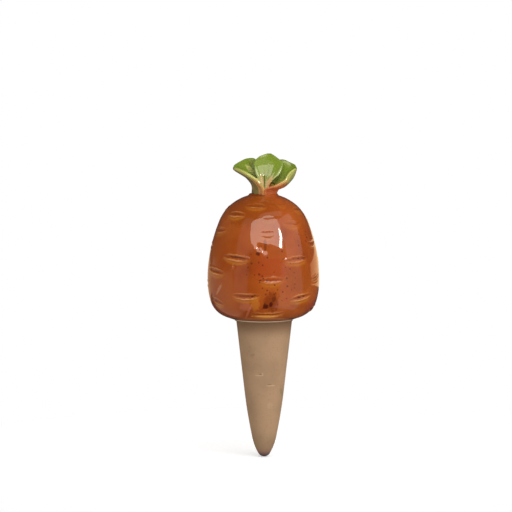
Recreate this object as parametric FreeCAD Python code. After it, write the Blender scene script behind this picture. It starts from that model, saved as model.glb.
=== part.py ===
import FreeCAD, Part
import math
import os

# A watering stake cast in one piece: a hollow root-shaped head that holds the water,
# a crown of four leaves on top and a hollow tapered spike that lets it seep into the soil.
# Millimetres, +Z up, front towards -Y. The origin is on the axis where spike meets head.

Vec = FreeCAD.Vector

wall = 3.2
tip_height = -71.0

# The outline, from the tip of the spike up to the neck. A step is a straight run of a
# length, or an arc of a radius that ends at a heading, in degrees off vertical.
spike_end = [("arc", 3.2, 27), ("run", 3.6), ("arc", 6, 13.5)]
spike_shaft = [("run", 9.5), ("arc", 8, 9), ("run", 13.8), ("arc", 8, 6.7), ("run", 40.4)]
head = [
    ("arc", 1.0, 71),
    ("run", 5.5),
    ("arc", 9, 41),
    ("run", 3.1),
    ("arc", 9, 11.5),
    ("run", 3.4),
    ("arc", 13, 2.5),
    ("run", 8.7),
    ("arc", 13, -10.5),
    ("run", 12.1),
    ("arc", 12, -17),
    ("run", 9.4),
    ("arc", 10.5, -31.5),
    ("run", 4.5),
    ("arc", 9.5, -54),
    ("run", 3.1),
    ("arc", 9, -64),
]
neck = [("run", 5.9), ("arc", 2.8, 0)]

# Roll of bare clay where the glaze of the head stops above the spike, as (r, z).
bead = [(13.9, -0.7), (14.6, -0.6), (15.0, -0.1), (15.0, 0.4), (14.6, 0.8)]

# Round fill hole in the upper back of the head, square to the surface.
fill_hole_diameter = 12.0
fill_hole_height = 49.0
fill_hole_azimuth = 180
fill_hole_reach = 6.4

# The carved marks: a lens-shaped pad with a slit cut along it by a round blade.
pad_rise = 0.65
pad_half_width = 2.4
pad_depth = 0.4
slit_share = 0.82
blade_radius = 60.0
blade_half_angle = 32
blade_reach = 1.6
overrun = 1.0
lowest_mark = 2.0

# Azimuth from the front towards +X, height, length, rise to the right in degrees.
marks = [
    (-43, 55.4, 12.0, 1),
    (-14, 59.7, 12.0, -3),
    (-66, 47.0, 13.8, 2),
    (-31, 33.7, 16.5, -5),
    (-60, 26.5, 16.5, -6),
    (-19, 14.6, 16.0, 0),
    (-58, 11.0, 11.2, -12),
    (5, 4.9, 18.0, 1),
    (8, 22.9, 13.7, 1),
    (8, 46.5, 11.3, 0),
    (7, 54.2, 9.0, 0),
    (37, 32.2, 15.3, 4),
    (43, 13.7, 16.0, 8),
    (41, 51.0, 12.4, -2),
    (35, 60.4, 6.0, -8),
    (66, 57.6, 8.0, -6),
    (70, 40.5, 13.0, 3),
    (70, 22.5, 13.0, 12),
    (78, 6.5, 11.0, 4),
    (104, 50.0, 13.0, -3),
    (104, 31.0, 16.0, 2),
    (108, 13.5, 13.0, -4),
    (138, 57.4, 9.0, 3),
    (140, 41.5, 14.0, 4),
    (141, 22.5, 15.5, -3),
    (142, 5.5, 12.0, 2),
    (176, 33.0, 15.0, 2),
    (178, 14.5, 15.0, -5),
    (212, 56.6, 9.0, -3),
    (214, 42.5, 13.0, -4),
    (212, 24.0, 16.0, 3),
    (213, 6.0, 12.0, -2),
    (246, 51.0, 12.0, 2),
    (247, 33.5, 15.0, -3),
    (246, 14.5, 14.0, 5),
    (276, 57.8, 8.0, 4),
    (274, 38.5, 14.0, -5),
    (275, 19.0, 13.0, 4),
]

# Leaves, as stations from root to tip: near margin, keel, far margin, thickness at the
# keel and at the margins. The keel is the middle of the outer face, so a leaf is cupped.
left_leaf = [
    ((-0.2, -6.3, 64.0), (-6.8, 0.0, 64.0), (-1.5, 4.6, 64.0), 3.4, 2.0),
    ((-1.5, -7.0, 69.0), (-6.7, -1.0, 69.2), (-2.2, 5.4, 72.0), 4.0, 2.1),
    ((-4.8, -7.2, 73.2), (-9.1, -1.6, 73.3), (-5.0, 5.4, 79.8), 4.6, 2.0),
    ((-9.2, -6.4, 75.8), (-12.1, -1.4, 75.2), (-9.2, 4.6, 82.1), 4.2, 1.8),
    ((-13.0, -4.0, 77.2), (-14.4, -0.6, 76.4), (-13.1, 3.0, 80.5), 2.8, 1.5),
    ((-15.3, -1.2, 77.7), (-15.8, 0.0, 77.5), (-15.4, 1.0, 78.8), 1.2, 1.0),
]
right_leaf = [
    ((0.9, -6.3, 64.0), (6.9, 0.0, 64.0), (1.5, 4.6, 64.0), 3.4, 2.0),
    ((1.5, -7.0, 68.2), (7.9, -2.0, 67.1), (2.8, 5.4, 72.0), 4.0, 1.9),
    ((7.2, -7.5, 69.9), (10.4, -3.4, 68.2), (6.4, 5.0, 79.4), 5.0, 1.9),
    ((11.6, -6.9, 72.1), (13.4, -2.6, 70.6), (10.6, 4.5, 80.9), 4.6, 1.9),
    ((14.4, -4.8, 75.3), (15.7, -1.6, 73.7), (14.4, 3.2, 79.6), 3.0, 1.6),
    ((16.8, -1.4, 77.6), (17.3, 0.0, 77.4), (16.8, 1.2, 78.9), 1.2, 1.0),
]
front_leaf = [
    ((2.4, -4.0, 63.8), (0.5, -2.6, 63.8), (-1.6, -4.0, 63.8), 2.4, 1.6),
    ((1.9, -5.7, 68.3), (0.5, -4.5, 68.2), (-1.1, -5.7, 68.3), 2.2, 1.6),
    ((3.9, -6.3, 72.0), (1.2, -4.8, 71.8), (-1.7, -6.2, 72.0), 2.4, 1.7),
    ((7.6, -6.0, 75.0), (2.4, -3.8, 74.8), (-3.0, -5.8, 75.0), 2.6, 1.8),
    ((10.0, -5.2, 78.2), (3.0, -3.0, 78.0), (-4.0, -5.2, 78.2), 2.6, 1.8),
    ((9.6, -4.2, 81.5), (2.9, -2.4, 81.7), (-4.3, -4.2, 81.5), 2.4, 1.6),
    ((6.6, -2.5, 84.1), (2.9, -1.1, 84.2), (-1.8, -2.5, 84.1), 1.9, 1.3),
    ((4.4, -1.0, 85.6), (3.0, -0.3, 85.7), (1.6, -1.0, 85.6), 1.2, 1.0),
]
back_leaf = [
    ((-3.4, 2.6, 64.0), (0.0, 5.9, 64.0), (3.4, 2.6, 64.0), 3.0, 1.8),
    ((-3.6, 4.2, 69.0), (0.2, 7.2, 69.0), (4.0, 4.2, 69.0), 2.8, 1.8),
    ((-4.6, 6.2, 73.4), (0.4, 8.8, 73.2), (5.4, 6.2, 73.4), 2.6, 1.8),
    ((-5.2, 8.2, 77.4), (0.6, 10.0, 77.2), (6.6, 8.2, 77.4), 2.4, 1.7),
    ((-3.9, 9.2, 80.4), (0.8, 10.6, 80.3), (5.2, 9.2, 80.4), 2.0, 1.4),
    ((-1.0, 9.9, 82.4), (0.9, 10.5, 82.4), (2.6, 9.9, 82.4), 1.2, 1.0),
]

# Solid heart that the leaves grow from, inside the crown, as (r, z).
heart = [(0, 64.0), (6.5, 64.0), (6.5, 66.6), (5.6, 68.6), (4.2, 71.0), (2.6, 73.0), (0, 73.6)]


def polar(radius, heading):
    """Step of a radius sideways from a heading, towards the axis, as (r, z)."""
    angle = math.radians(heading)
    return (-radius * math.cos(angle), radius * math.sin(angle))


def trace(start, heading, steps, inset=0.0):
    """Follow steps from a start point; give the pieces, the end point and end heading."""
    r, z = start
    pieces = []
    for step in steps:
        if step[0] == "run":
            angle = math.radians(heading)
            end = (r + step[1] * math.sin(angle), z + step[1] * math.cos(angle))
            pieces.append({"ends": ((r, z), end), "middle": None})
            r, z = end
            continue
        turn = step[2] - heading
        side = 1 if turn < 0 else -1
        radius = step[1] - side * inset
        inwards = polar(side * radius, heading)
        centre = (r + inwards[0], z + inwards[1])
        points = []
        for part_turn in (turn / 2, turn):
            back = polar(side * radius, heading + part_turn)
            points.append((centre[0] - back[0], centre[1] - back[1]))
        pieces.append({
            "ends": ((r, z), points[1]),
            "middle": points[0],
            "centre": centre,
            "radius": radius,
        })
        r, z = points[1]
        heading = step[2]
    return pieces, (r, z), heading


def flat(point):
    """A point (r, z) of an outline, in the XZ plane."""
    return Vec(point[0], 0, point[1])


def edges_of(pieces):
    """Edges of a traced outline."""
    edges = []
    for piece in pieces:
        start, end = (flat(point) for point in piece["ends"])
        if piece["middle"] is None:
            edges.append(Part.LineSegment(start, end).toShape())
        else:
            edges.append(Part.Arc(start, flat(piece["middle"]), end).toShape())
    return edges


def revolve(edges):
    """Solid turned about the Z axis from edges that run from axis to axis."""
    first = edges[0].Vertexes[0].Point
    last = edges[-1].Vertexes[-1].Point
    axis_edge = Part.LineSegment(last, first).toShape()
    face = Part.Face(Part.Wire(edges + [axis_edge]))
    return face.revolve(Vec(0, 0, 0), Vec(0, 0, 1), 360)


def ring(points):
    """Solid turned about the Z axis from a closed polygon of (r, z)."""
    corners = [flat(point) for point in points]
    face = Part.Face(Part.makePolygon(corners + corners[:1]))
    return face.revolve(Vec(0, 0, 0), Vec(0, 0, 1), 360)


def dome(point, heading):
    """Outline piece from the axis to a point, round, leaving it at the heading."""
    r, z = point
    angle = math.radians(heading)
    radius = r / math.cos(angle)
    upwards = 1 if heading < 0 else -1
    centre_z = z - upwards * radius * abs(math.sin(angle))
    middle = math.radians((90 + abs(heading)) / 2)
    middle_point = (radius * math.cos(middle), centre_z + upwards * radius * math.sin(middle))
    tip = (0.0, centre_z + upwards * radius)
    return {"ends": (tip, point), "middle": middle_point}


def body():
    """Outer body, solid, and the pieces of its outline."""
    steps = spike_end + spike_shaft + head + neck
    pieces, top, _ = trace((0.0, tip_height), 90, steps)
    edges = edges_of(pieces)
    edges.append(Part.LineSegment(flat(top), Vec(0, 0, top[1])).toShape())
    return revolve(edges), pieces


def cavity():
    """Water space: the outline set in by the wall, with round ends."""
    _, foot, heading = trace((0.0, tip_height), 90, spike_end)
    inwards = polar(wall, heading)
    start = (foot[0] + inwards[0], foot[1] + inwards[1])
    pieces, end, end_heading = trace(start, heading, spike_shaft + head, wall)
    bottom = dome(start, heading)
    top = dome(end, end_heading)
    top["ends"] = (top["ends"][1], top["ends"][0])
    return revolve(edges_of([bottom] + pieces + [top]))


def surface_at(azimuth, height, pieces):
    """Point, outward normal, sideways direction and both curvatures of the head."""
    for piece in pieces:
        (low_r, low), (high_r, high) = piece["ends"]
        if not low <= height <= high or height < lowest_mark:
            continue
        if piece["middle"]:
            centre_r, centre_z = piece["centre"]
            rise = height - centre_z
            r = centre_r + math.sqrt(piece["radius"] ** 2 - rise ** 2)
            out_r, out_z = (r - centre_r) / piece["radius"], rise / piece["radius"]
            along = 1 / piece["radius"]
        else:
            share = (height - low) / (high - low)
            r = low_r + (high_r - low_r) * share
            length = math.hypot(high_r - low_r, high - low)
            out_r, out_z = (high - low) / length, (low_r - high_r) / length
            along = 0.0
        break
    turn = math.radians(azimuth)
    point = Vec(r * math.sin(turn), -r * math.cos(turn), height)
    normal = Vec(out_r * math.sin(turn), -out_r * math.cos(turn), out_z)
    sideways = Vec(math.cos(turn), math.sin(turn), 0)
    return point, normal, sideways, out_r / r, along


def wheel(profile, centre, outwards, axis, half_angle):
    """Sector of a wheel: a profile (distance from centre, along axis) turned both ways."""
    start = FreeCAD.Rotation(axis, -half_angle).multVec(outwards)
    points = [centre + start * reach + axis * side for reach, side in profile]
    face = Part.Face(Part.makePolygon(points + points[:1]))
    return face.revolve(centre, axis, 2 * half_angle)


def mark(azimuth, height, length, tilt, pieces):
    """Pad and slit of one carved mark."""
    point, normal, sideways, across, along = surface_at(azimuth, height, pieces)
    upwards = normal.cross(sideways)
    angle = math.radians(tilt)
    direction = sideways * math.cos(angle) + upwards * math.sin(angle)
    axis = normal.cross(direction)
    bend = across * math.cos(angle) ** 2 + along * math.sin(angle) ** 2

    half = length / 2
    pad_radius = 1 / (bend + 2 * pad_rise / half ** 2)
    flank = pad_half_width * (pad_rise + pad_depth) / pad_rise
    foot = pad_radius - pad_rise - pad_depth
    profile = [(pad_radius, 0), (foot, -flank), (foot, flank)]
    pad_turn = math.degrees(math.asin((half + overrun) / pad_radius))
    pad_centre = point - normal * (pad_radius - pad_rise)
    pad = wheel(profile, pad_centre, normal, axis, pad_turn)

    slit_half = half * slit_share
    depth = slit_half ** 2 / 2 * (1 / pad_radius + 1 / blade_radius)
    blade_height = depth + blade_reach
    flank = blade_height * math.tan(math.radians(blade_half_angle))
    foot = blade_radius - blade_height
    profile = [(blade_radius, 0), (foot, flank), (foot, -flank)]
    blade_turn = math.degrees(math.asin((slit_half + overrun) / blade_radius))
    blade_centre = point + normal * (pad_rise - depth + blade_radius)
    slit = wheel(profile, blade_centre, normal * -1, axis, blade_turn)
    return pad, slit


def leaf_section(near, keel, far, thickness, margin):
    """Closed crescent wire: outer arc through three points, inner arc, flat margins."""
    near, keel, far = Vec(*near), Vec(*keel), Vec(*far)
    chord = (far - near).normalize()
    inwards = (near + far) * 0.5 - keel
    inwards = (inwards - chord * inwards.dot(chord)).normalize()
    inner_near = near + inwards * margin
    inner_far = far + inwards * margin
    inner_keel = keel + inwards * thickness
    sides = [
        Part.Arc(near, keel, far),
        Part.LineSegment(far, inner_far),
        Part.Arc(inner_far, inner_keel, inner_near),
        Part.LineSegment(inner_near, near),
    ]
    return Part.Wire([side.toShape() for side in sides])


def leaf(stations):
    """Leaf lofted smoothly through its stations."""
    return Part.makeLoft([leaf_section(*station) for station in stations], True, False)


def crown():
    """The solids of the leaf crown."""
    leaves = [leaf(stations) for stations in (left_leaf, right_leaf, front_leaf, back_leaf)]
    return [ring(heart)] + leaves


def fill_hole(pieces):
    """Plug that leaves the round fill hole, through the wall on both sides."""
    point, normal = surface_at(fill_hole_azimuth, fill_hole_height, pieces)[:2]
    start = point - normal * fill_hole_reach
    return Part.makeCylinder(fill_hole_diameter / 2, 2 * fill_hole_reach, start, normal)


def stake():
    """The whole stake as one solid."""
    solid, pieces = body()
    pads, slits = zip(*(mark(*values, pieces) for values in marks))
    solid = solid.fuse([ring(bead)] + list(pads))
    solid = solid.cut([cavity(), fill_hole(pieces)] + list(slits))
    solid = solid.fuse(crown())
    return solid


def main():
    os.makedirs("parts", exist_ok=True)
    shape = stake()
    print("solids", len(shape.Solids), "valid", shape.isValid(), "volume", shape.Volume)
    print("box", shape.BoundBox)
    shape.Solids[0].exportStep("parts/stake.step")


main()
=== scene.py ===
import random
from math import atan2, ceil, cos, exp, pi, radians, sin, tan, tau

import bpy
from mathutils import Matrix, Vector
from mathutils.kdtree import KDTree


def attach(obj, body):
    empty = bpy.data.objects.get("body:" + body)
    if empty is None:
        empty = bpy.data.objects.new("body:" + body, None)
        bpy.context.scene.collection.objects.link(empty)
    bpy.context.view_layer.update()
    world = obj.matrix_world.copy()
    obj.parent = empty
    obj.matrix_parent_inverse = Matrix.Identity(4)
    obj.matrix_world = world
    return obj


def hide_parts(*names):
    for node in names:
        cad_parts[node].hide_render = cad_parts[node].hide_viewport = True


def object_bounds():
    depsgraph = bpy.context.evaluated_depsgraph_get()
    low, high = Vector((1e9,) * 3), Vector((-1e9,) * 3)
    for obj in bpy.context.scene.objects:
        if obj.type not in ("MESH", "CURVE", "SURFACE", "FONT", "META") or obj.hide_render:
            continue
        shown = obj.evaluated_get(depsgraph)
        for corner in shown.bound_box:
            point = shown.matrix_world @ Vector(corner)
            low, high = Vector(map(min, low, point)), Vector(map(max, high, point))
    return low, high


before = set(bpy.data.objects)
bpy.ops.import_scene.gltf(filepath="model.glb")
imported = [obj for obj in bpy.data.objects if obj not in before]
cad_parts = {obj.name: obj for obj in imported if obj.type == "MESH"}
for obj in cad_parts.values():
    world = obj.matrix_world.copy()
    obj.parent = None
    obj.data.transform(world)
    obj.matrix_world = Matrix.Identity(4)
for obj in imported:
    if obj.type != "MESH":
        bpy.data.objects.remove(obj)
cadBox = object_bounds()
print("frame loaded")

# One millimetre in metres.
mm = 0.001

# How the photo was taken: pixel pitch on the object, where the axis and the soil line stand in it, and
# how high the camera looks from.
photo = {
    "imageSize": 512,
    "millimetresPerPixel": 0.5135,
    "axisColumn": 263.4,
    "soilRow": 319.7,
    "cameraElevation": 5,
    "cameraDistance": 1600,
    "sensorWidth": 36,
}


class Wire:
    # one output socket of a node tree; the usual operators on it add Math nodes
    def __init__(self, graph, socket):
        self.graph = graph
        self.socket = socket

    def math(self, operation, *values):
        return self.graph.shader("Math", dict(enumerate(values)), {"operation": operation})

    def __neg__(self):
        return self * -1

    def __abs__(self):
        return self.math("ABSOLUTE", self)

    def atLeast(self, other):
        return self.math("MAXIMUM", self, other)

    def atMost(self, other):
        return self.math("MINIMUM", self, other)

    def above(self, other):
        return self.math("GREATER_THAN", self, other)

    def bell(self, centre, width):
        # 1 at the centre, falling off smoothly over the width
        away = (self - centre) / width
        return self.math("EXPONENT", -(away * away))

    def ramp(self, low, high, strength=None):
        # 0 below low, 1 or the strength above high, smooth between
        settings = {"interpolation_type": "SMOOTHSTEP"}
        made = self.graph.shader("MapRange", {0: self, 1: low, 2: high}, settings)
        return made if strength is None else made * strength

    def fall(self, low, high, strength=None):
        # 1 or the strength below low, 0 above high, smooth between
        made = 1 - self.ramp(low, high)
        return made if strength is None else made * strength


def addOperator(name, operation):
    setattr(Wire, f"__{name}__", lambda self, other: self.math(operation, self, other))
    setattr(Wire, f"__r{name}__", lambda self, other: self.math(operation, other, self))


addOperator("add", "ADD")
addOperator("sub", "SUBTRACT")
addOperator("mul", "MULTIPLY")
addOperator("truediv", "DIVIDE")
addOperator("pow", "POWER")


class Graph:
    # adds nodes to one tree
    def __init__(self, tree):
        self.tree = tree
        self.last = None

    def node(self, kind, inputs=None, settings=None, output=0):
        made = self.tree.nodes.new(kind)
        for name, value in (settings or {}).items():
            setattr(made, name, value)
        for name, value in (inputs or {}).items():
            if isinstance(value, Wire):
                self.tree.links.new(value.socket, made.inputs[name])
            else:
                made.inputs[name].default_value = value
        self.last = made
        return Wire(self, made.outputs[output]) if len(made.outputs) else made

    def shader(self, kind, *facts):
        return self.node("ShaderNode" + kind, *facts)

    def geometry(self, kind, *facts):
        return self.node("GeometryNode" + kind, *facts)

    def vector(self, operation, *values, output=0):
        return self.shader("VectorMath", dict(enumerate(values)), {"operation": operation}, output)

    def dot(self, one, other):
        return self.vector("DOT_PRODUCT", one, other, output=1)

    def mix(self, factor, one, other):
        settings = {"data_type": "RGBA", "blend_type": "MIX"}
        return self.shader("Mix", {0: factor, 6: one, 7: other}, settings, 2)


def colour(red, green, blue):
    # a colour as it is read off a screen, made linear for the shader
    channels = [value / 255 for value in (red, green, blue)]
    linear = [c / 12.92 if c <= 0.04045 else ((c + 0.055) / 1.055) ** 2.4 for c in channels]
    return (*linear, 1)


def linkObject(name, mesh):
    made = bpy.data.objects.new(name, mesh)
    bpy.context.scene.collection.objects.link(made)
    return made


def meshObject(name, points, edges=(), faces=(), material=None):
    mesh = bpy.data.meshes.new(name)
    mesh.from_pydata(points, edges, faces)
    if material:
        mesh.materials.append(material)
    return linkObject(name, mesh)


def dropObject(made):
    mesh = made.data
    bpy.data.objects.remove(made)
    bpy.data.meshes.remove(mesh)


def plainMesh(made, name):
    # the evaluated result of an object's modifiers as a mesh of its own
    bpy.context.view_layer.update()
    evaluated = made.evaluated_get(bpy.context.evaluated_depsgraph_get())
    mesh = bpy.data.meshes.new_from_object(evaluated)
    mesh.name = name
    return mesh


def keepResult(made):
    # the evaluated result of an object's modifiers becomes its mesh
    old = made.data
    mesh = plainMesh(made, made.name)
    made.modifiers.clear()
    made.data = mesh
    bpy.data.meshes.remove(old)


def noteOnPoints(mesh, name, values):
    mesh.attributes.new(name, "FLOAT", "POINT").data.foreach_set("value", values)


# The turned body. An outline is a list of straight runs, by length, and arcs, by radius and the
# heading they end at, in degrees off vertical, from the tip of the spike up to the neck.
turnedBody = {
    "wall": 3.2,
    "tipHeight": -71,
    "tipHeading": 90,
    "spikeTip": [("arc", 3.45, 30), ("arc", 28, 12)],
    "spikeShaft": [("arc", 266, 6.6), ("run", 35.78)],
    "collar": [("arc", 0.45, 75), ("run", 0.06), ("arc", 0.35, -20), ("arc", 0.2, 71)],
    "hollowCorner": [("arc", 1, 71)],
    "head": [
        ("run", 4.6),
        ("arc", 12.5, 15),
        ("arc", 37, 1),
        ("arc", 80, -22),
        ("arc", 24, -36),
        ("arc", 20, -49),
        ("arc", 23.5, -64),
    ],
    "neck": [("arc", 23.5, -72), ("run", 0.42), ("arc", 1.8, -25), ("arc", 0.4, -90)],
    "headStart": 2,
    "columns": 360,
    "tipSpacing": 0.6,
    "spikeSpacing": 1.7,
    "collarSpacing": 0.2,
    "headSpacing": 0.48,
    "hollowColumns": 96,
    "hollowSpacing": 2,
    "mergeDistance": 0.0005,
    "glazeStart": (0.3, 1.1),
    "spikeShift": 0.4,
    "shiftEnd": (-1, 0.6),
    "unevenness": 0.16,
    "unevenScale": 0.07,
    "unevenOnClay": 0.3,
    "seed": 7,
    "seedStep": 13.7,
}

fillHole = {
    "diameter": 12,
    "height": 49,
    "azimuth": 180,
    "lipRound": 1.3,
    "lipDepth": 2.1,
    "lipHeading": 75,
    "glazeReach": 0.6,
    "sides": 72,
    "spacing": 0.25,
}


def followOutline(start, heading, steps, spacing, inset=0.0):
    # points (r, z) along the steps, the last point and the last heading
    r, z = start
    points = []
    for step in steps:
        if step[0] == "run":
            angle = radians(heading)
            count = max(1, round(step[1] / spacing))
            for k in range(1, count + 1):
                along = step[1] * k / count
                points.append((r + along * sin(angle), z + along * cos(angle)))
        else:
            side = 1 if step[2] < heading else -1
            radius = step[1] - side * inset
            first = radians(heading)
            turn = radians(step[2] - heading)
            centreR = r - side * radius * cos(first)
            centreZ = z + side * radius * sin(first)
            count = max(2, ceil(abs(turn) * radius / spacing))
            for k in range(1, count + 1):
                angle = first + turn * k / count
                outwards = side * radius * cos(angle)
                downwards = side * radius * sin(angle)
                points.append((centreR + outwards, centreZ - downwards))
            heading = step[2]
        r, z = points[-1]
    return points, (r, z), heading


def roundEnd(point, heading, spacing):
    # points (r, z) from the axis to a point, on a dome that leaves it at the heading
    r, z = point
    radius = r / cos(radians(heading))
    upwards = 1 if heading < 0 else -1
    centre = z - upwards * radius * abs(sin(radians(heading)))
    last = abs(heading)
    count = max(3, ceil(radians(90 - last) * radius / spacing))
    angles = [radians(90 - (90 - last) * k / count) for k in range(count)]
    return [(radius * cos(a), centre + upwards * radius * sin(a)) for a in angles]


def outerOutline():
    body = turnedBody
    stretches = (
        (body["spikeTip"], body["tipSpacing"]),
        (body["spikeShaft"], body["spikeSpacing"]),
        (body["collar"], body["collarSpacing"]),
        (body["head"] + body["neck"], body["headSpacing"]),
    )
    end = (0.0, body["tipHeight"])
    heading = body["tipHeading"]
    points = [end]
    for steps, spacing in stretches:
        stretch, end, heading = followOutline(end, heading, steps, spacing)
        points += stretch
    return points + [(0.0, end[1])]


def hollowOutline():
    body = turnedBody
    spacing = body["hollowSpacing"]
    tip = (0.0, body["tipHeight"])
    _, foot, heading = followOutline(tip, body["tipHeading"], body["spikeTip"], spacing)
    angle = radians(heading)
    start = (foot[0] - body["wall"] * cos(angle), foot[1] + body["wall"] * sin(angle))
    steps = body["spikeShaft"] + body["hollowCorner"] + body["head"]
    stretch, end, endHeading = followOutline(start, heading, steps, spacing, body["wall"])
    top = roundEnd(end, endHeading, spacing)[::-1]
    return roundEnd(start, heading, spacing) + [start] + stretch + top


def onHead(azimuth, height, outline):
    # point, outward direction and sideways direction of the head's surface
    lowest = max(height, turnedBody["headStart"])
    following = next(k for k in range(1, len(outline)) if outline[k][1] > lowest)
    lowR, lowZ = outline[following - 1]
    highR, highZ = outline[following]
    share = (height - lowZ) / (highZ - lowZ)
    r = lowR + (highR - lowR) * share
    slope = Vector((highZ - lowZ, lowR - highR)).normalized()
    turn = radians(azimuth)
    point = Vector((r * sin(turn), -r * cos(turn), height))
    outwards = Vector((slope.x * sin(turn), -slope.x * cos(turn), slope.y))
    sideways = Vector((cos(turn), sin(turn), 0))
    return point, outwards, sideways


# A carved mark is azimuth from the front towards +X, height, length, rise to the right in degrees and
# strength. A blister is azimuth, height, radius, the way it faces in degrees off level and steepness.
# Lip and pool widths are shares of lipSoftness, and the pool lies at poolPlace times the lip's place.
carvedMarks = {
    "marks": [
        (-43, 55.4, 12, 1, 1), (-14, 59.7, 12, -3, 0.75), (-66, 47, 13.8, 2, 0.8),
        (-31, 34, 16.5, -5, 1.1), (-60, 26.5, 16.5, -6, 1), (-19, 14.6, 16, 0, 1),
        (-58, 11, 11.2, -12, 0.9), (5, 4.9, 18, 1, 1.1), (8, 22.9, 13.7, 1, 0.8),
        (4.7, 46.4, 9, 0, 0.35), (7, 54.2, 7, 4, 0.2), (37, 33.1, 15.3, 4, 0.8),
        (43, 13.7, 16, 8, 1.1), (41, 51, 12.4, -2, 0.5), (35, 60.4, 6, -8, 0.4),
        (66, 57.6, 8, -6, 0.6), (70, 40.5, 13, 3, 0.35), (70, 22.5, 13, 12, 0.6),
        (78, 6.5, 11, 4, 1), (104, 50, 13, -3, 0.8), (104, 31, 16, 2, 1.1),
        (108, 13.5, 13, -4, 0.9), (138, 57.4, 9, 3, 0.7), (140, 41.5, 14, 4, 1),
        (141, 22.5, 15.5, -3, 1.1), (142, 5.5, 12, 2, 0.9), (176, 33, 15, 2, 1),
        (178, 14.5, 15, -5, 0.9), (212, 56.6, 9, -3, 0.7), (214, 42.5, 13, -4, 1),
        (212, 24, 16, 3, 1.1), (213, 6, 12, -2, 0.9), (246, 51, 12, 2, 0.8),
        (247, 33.5, 15, -3, 1.1), (246, 14.5, 14, 5, 0.9), (276, 57.8, 8, 4, 0.6),
        (274, 38.5, 14, -5, 0.4), (275, 19, 13, 4, 0.5),
    ],
    "blisters": [
        (-7.3, 38.9, 1.6, 11, 0.69),
        (-1.3, 37.6, 1.6, 15, 0.54),
        (-33.2, 29.5, 0.8, 20, 1.25),
    ],
    "bows": (-0.5, 0.9),
    "lipSpread": 1.45,
    "lipSoftness": 0.5,
    "lipRise": 0.36,
    "lipPower": 0.6,
    "upperLip": 0.9,
    "upperWidth": 0.8,
    "poolPlace": 2,
    "poolWidth": 1.4,
    "slitSoftness": 0.32,
    "slitDepth": 0.36,
    "slitAtEnds": 0.5,
    "wander": 1,
    "wanderScale": 0.5,
    "reach": 4,
    "seed": 11,
}


def marksObject(outline):
    # one point a mark, with its directions and sizes as attributes
    draw = random.Random(carvedMarks["seed"])
    rows = []
    for azimuth, height, length, tilt, strength in carvedMarks["marks"]:
        point, outwards, sideways = onHead(azimuth, height, outline)
        angle = radians(tilt)
        along = sideways * cos(angle) + outwards.cross(sideways) * sin(angle)
        rows.append({
            "point": point,
            "outwards": outwards,
            "along": along,
            "across": outwards.cross(along),
            "halfLength": length / 2,
            "weight": strength,
            "tint": min(strength, 1.0),
            "bow": draw.uniform(*carvedMarks["bows"]),
        })
    made = meshObject("marks", [row["point"] for row in rows])
    for name in ("outwards", "along", "across"):
        values = [channel for row in rows for channel in row[name]]
        made.data.attributes.new(name, "FLOAT_VECTOR", "POINT").data.foreach_set("vector", values)
    for name in ("halfLength", "weight", "tint", "bow"):
        noteOnPoints(made.data, name, [row[name] for row in rows])
    return made


def newTree(name, inputs, output):
    # a tree of geometry nodes, the identifiers of its inputs, its graph and its inputs as wires
    tree = bpy.data.node_groups.new(name, "GeometryNodeTree")
    ids = {}
    for label, kind, value in inputs:
        socket = tree.interface.new_socket(label, in_out="INPUT", socket_type="NodeSocket" + kind)
        if value is not None:
            socket.default_value = value
        ids[label] = socket.identifier
    tree.interface.new_socket(output, in_out="OUTPUT", socket_type="NodeSocketGeometry")
    g = Graph(tree)
    g.node("NodeGroupInput")
    given = {socket.name: Wire(g, socket) for socket in g.last.outputs if socket.name}
    return tree, ids, g, given


def separate(g, vector, axis):
    return g.shader("SeparateXYZ", {0: vector}, {}, axis)


def noise(g, vector, scale, detail=3.0, roughness=0.5):
    values = {"Vector": vector, "Scale": scale, "Detail": detail, "Roughness": roughness}
    return g.shader("TexNoise", values, {"noise_dimensions": "3D"})


def storeNumber(g, geometry, name, value):
    settings = {"data_type": "FLOAT", "domain": "POINT"}
    return g.geometry("StoreNamedAttribute", {0: geometry, 2: name, 3: value}, settings)


def storedNumber(g, name):
    return g.geometry("InputNamedAttribute", {0: name}, {"data_type": "FLOAT"})


def countPoints(g, geometry):
    return g.geometry("AttributeDomainSize", {0: geometry}, {"component": "MESH"})


def objectGeometry(g, given):
    return g.geometry("ObjectInfo", {0: given}, {"transform_space": "ORIGINAL"}, "Geometry")


def turnedTree():
    # turns an outline, a line of points (r, 0, z), about the Z axis
    inputs = [("Outline", "Geometry", None), ("Columns", "Int", turnedBody["columns"])]
    tree, ids, g, given = newTree("turned", inputs, "Surface")
    outline = given["Outline"]
    columns = given["Columns"]
    rows = countPoints(g, outline)
    grid = g.geometry("MeshGrid", {2: columns + 1, 3: rows})
    index = g.geometry("InputIndex")
    row = index.math("MODULO", index, rows)
    column = index.math("FLOOR", index / rows)
    angle = column * tau / columns
    position = g.geometry("InputPosition")
    values = {0: outline, 1: position, 2: row}
    sample = g.geometry("SampleIndex", values, {"data_type": "FLOAT_VECTOR"})
    radius = separate(g, sample, 0)
    x = radius * angle.math("SINE", angle)
    y = radius * angle.math("COSINE", angle) * -1
    place = g.shader("CombineXYZ", {0: x, 1: y, 2: separate(g, sample, 2)})
    surface = g.geometry("SetPosition", {0: grid, 2: place})
    merged = {0: surface, "Distance": turnedBody["mergeDistance"]}
    surface = g.geometry("MergeByDistance", merged)
    g.node("NodeGroupOutput", {0: surface})
    return tree, ids


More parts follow.
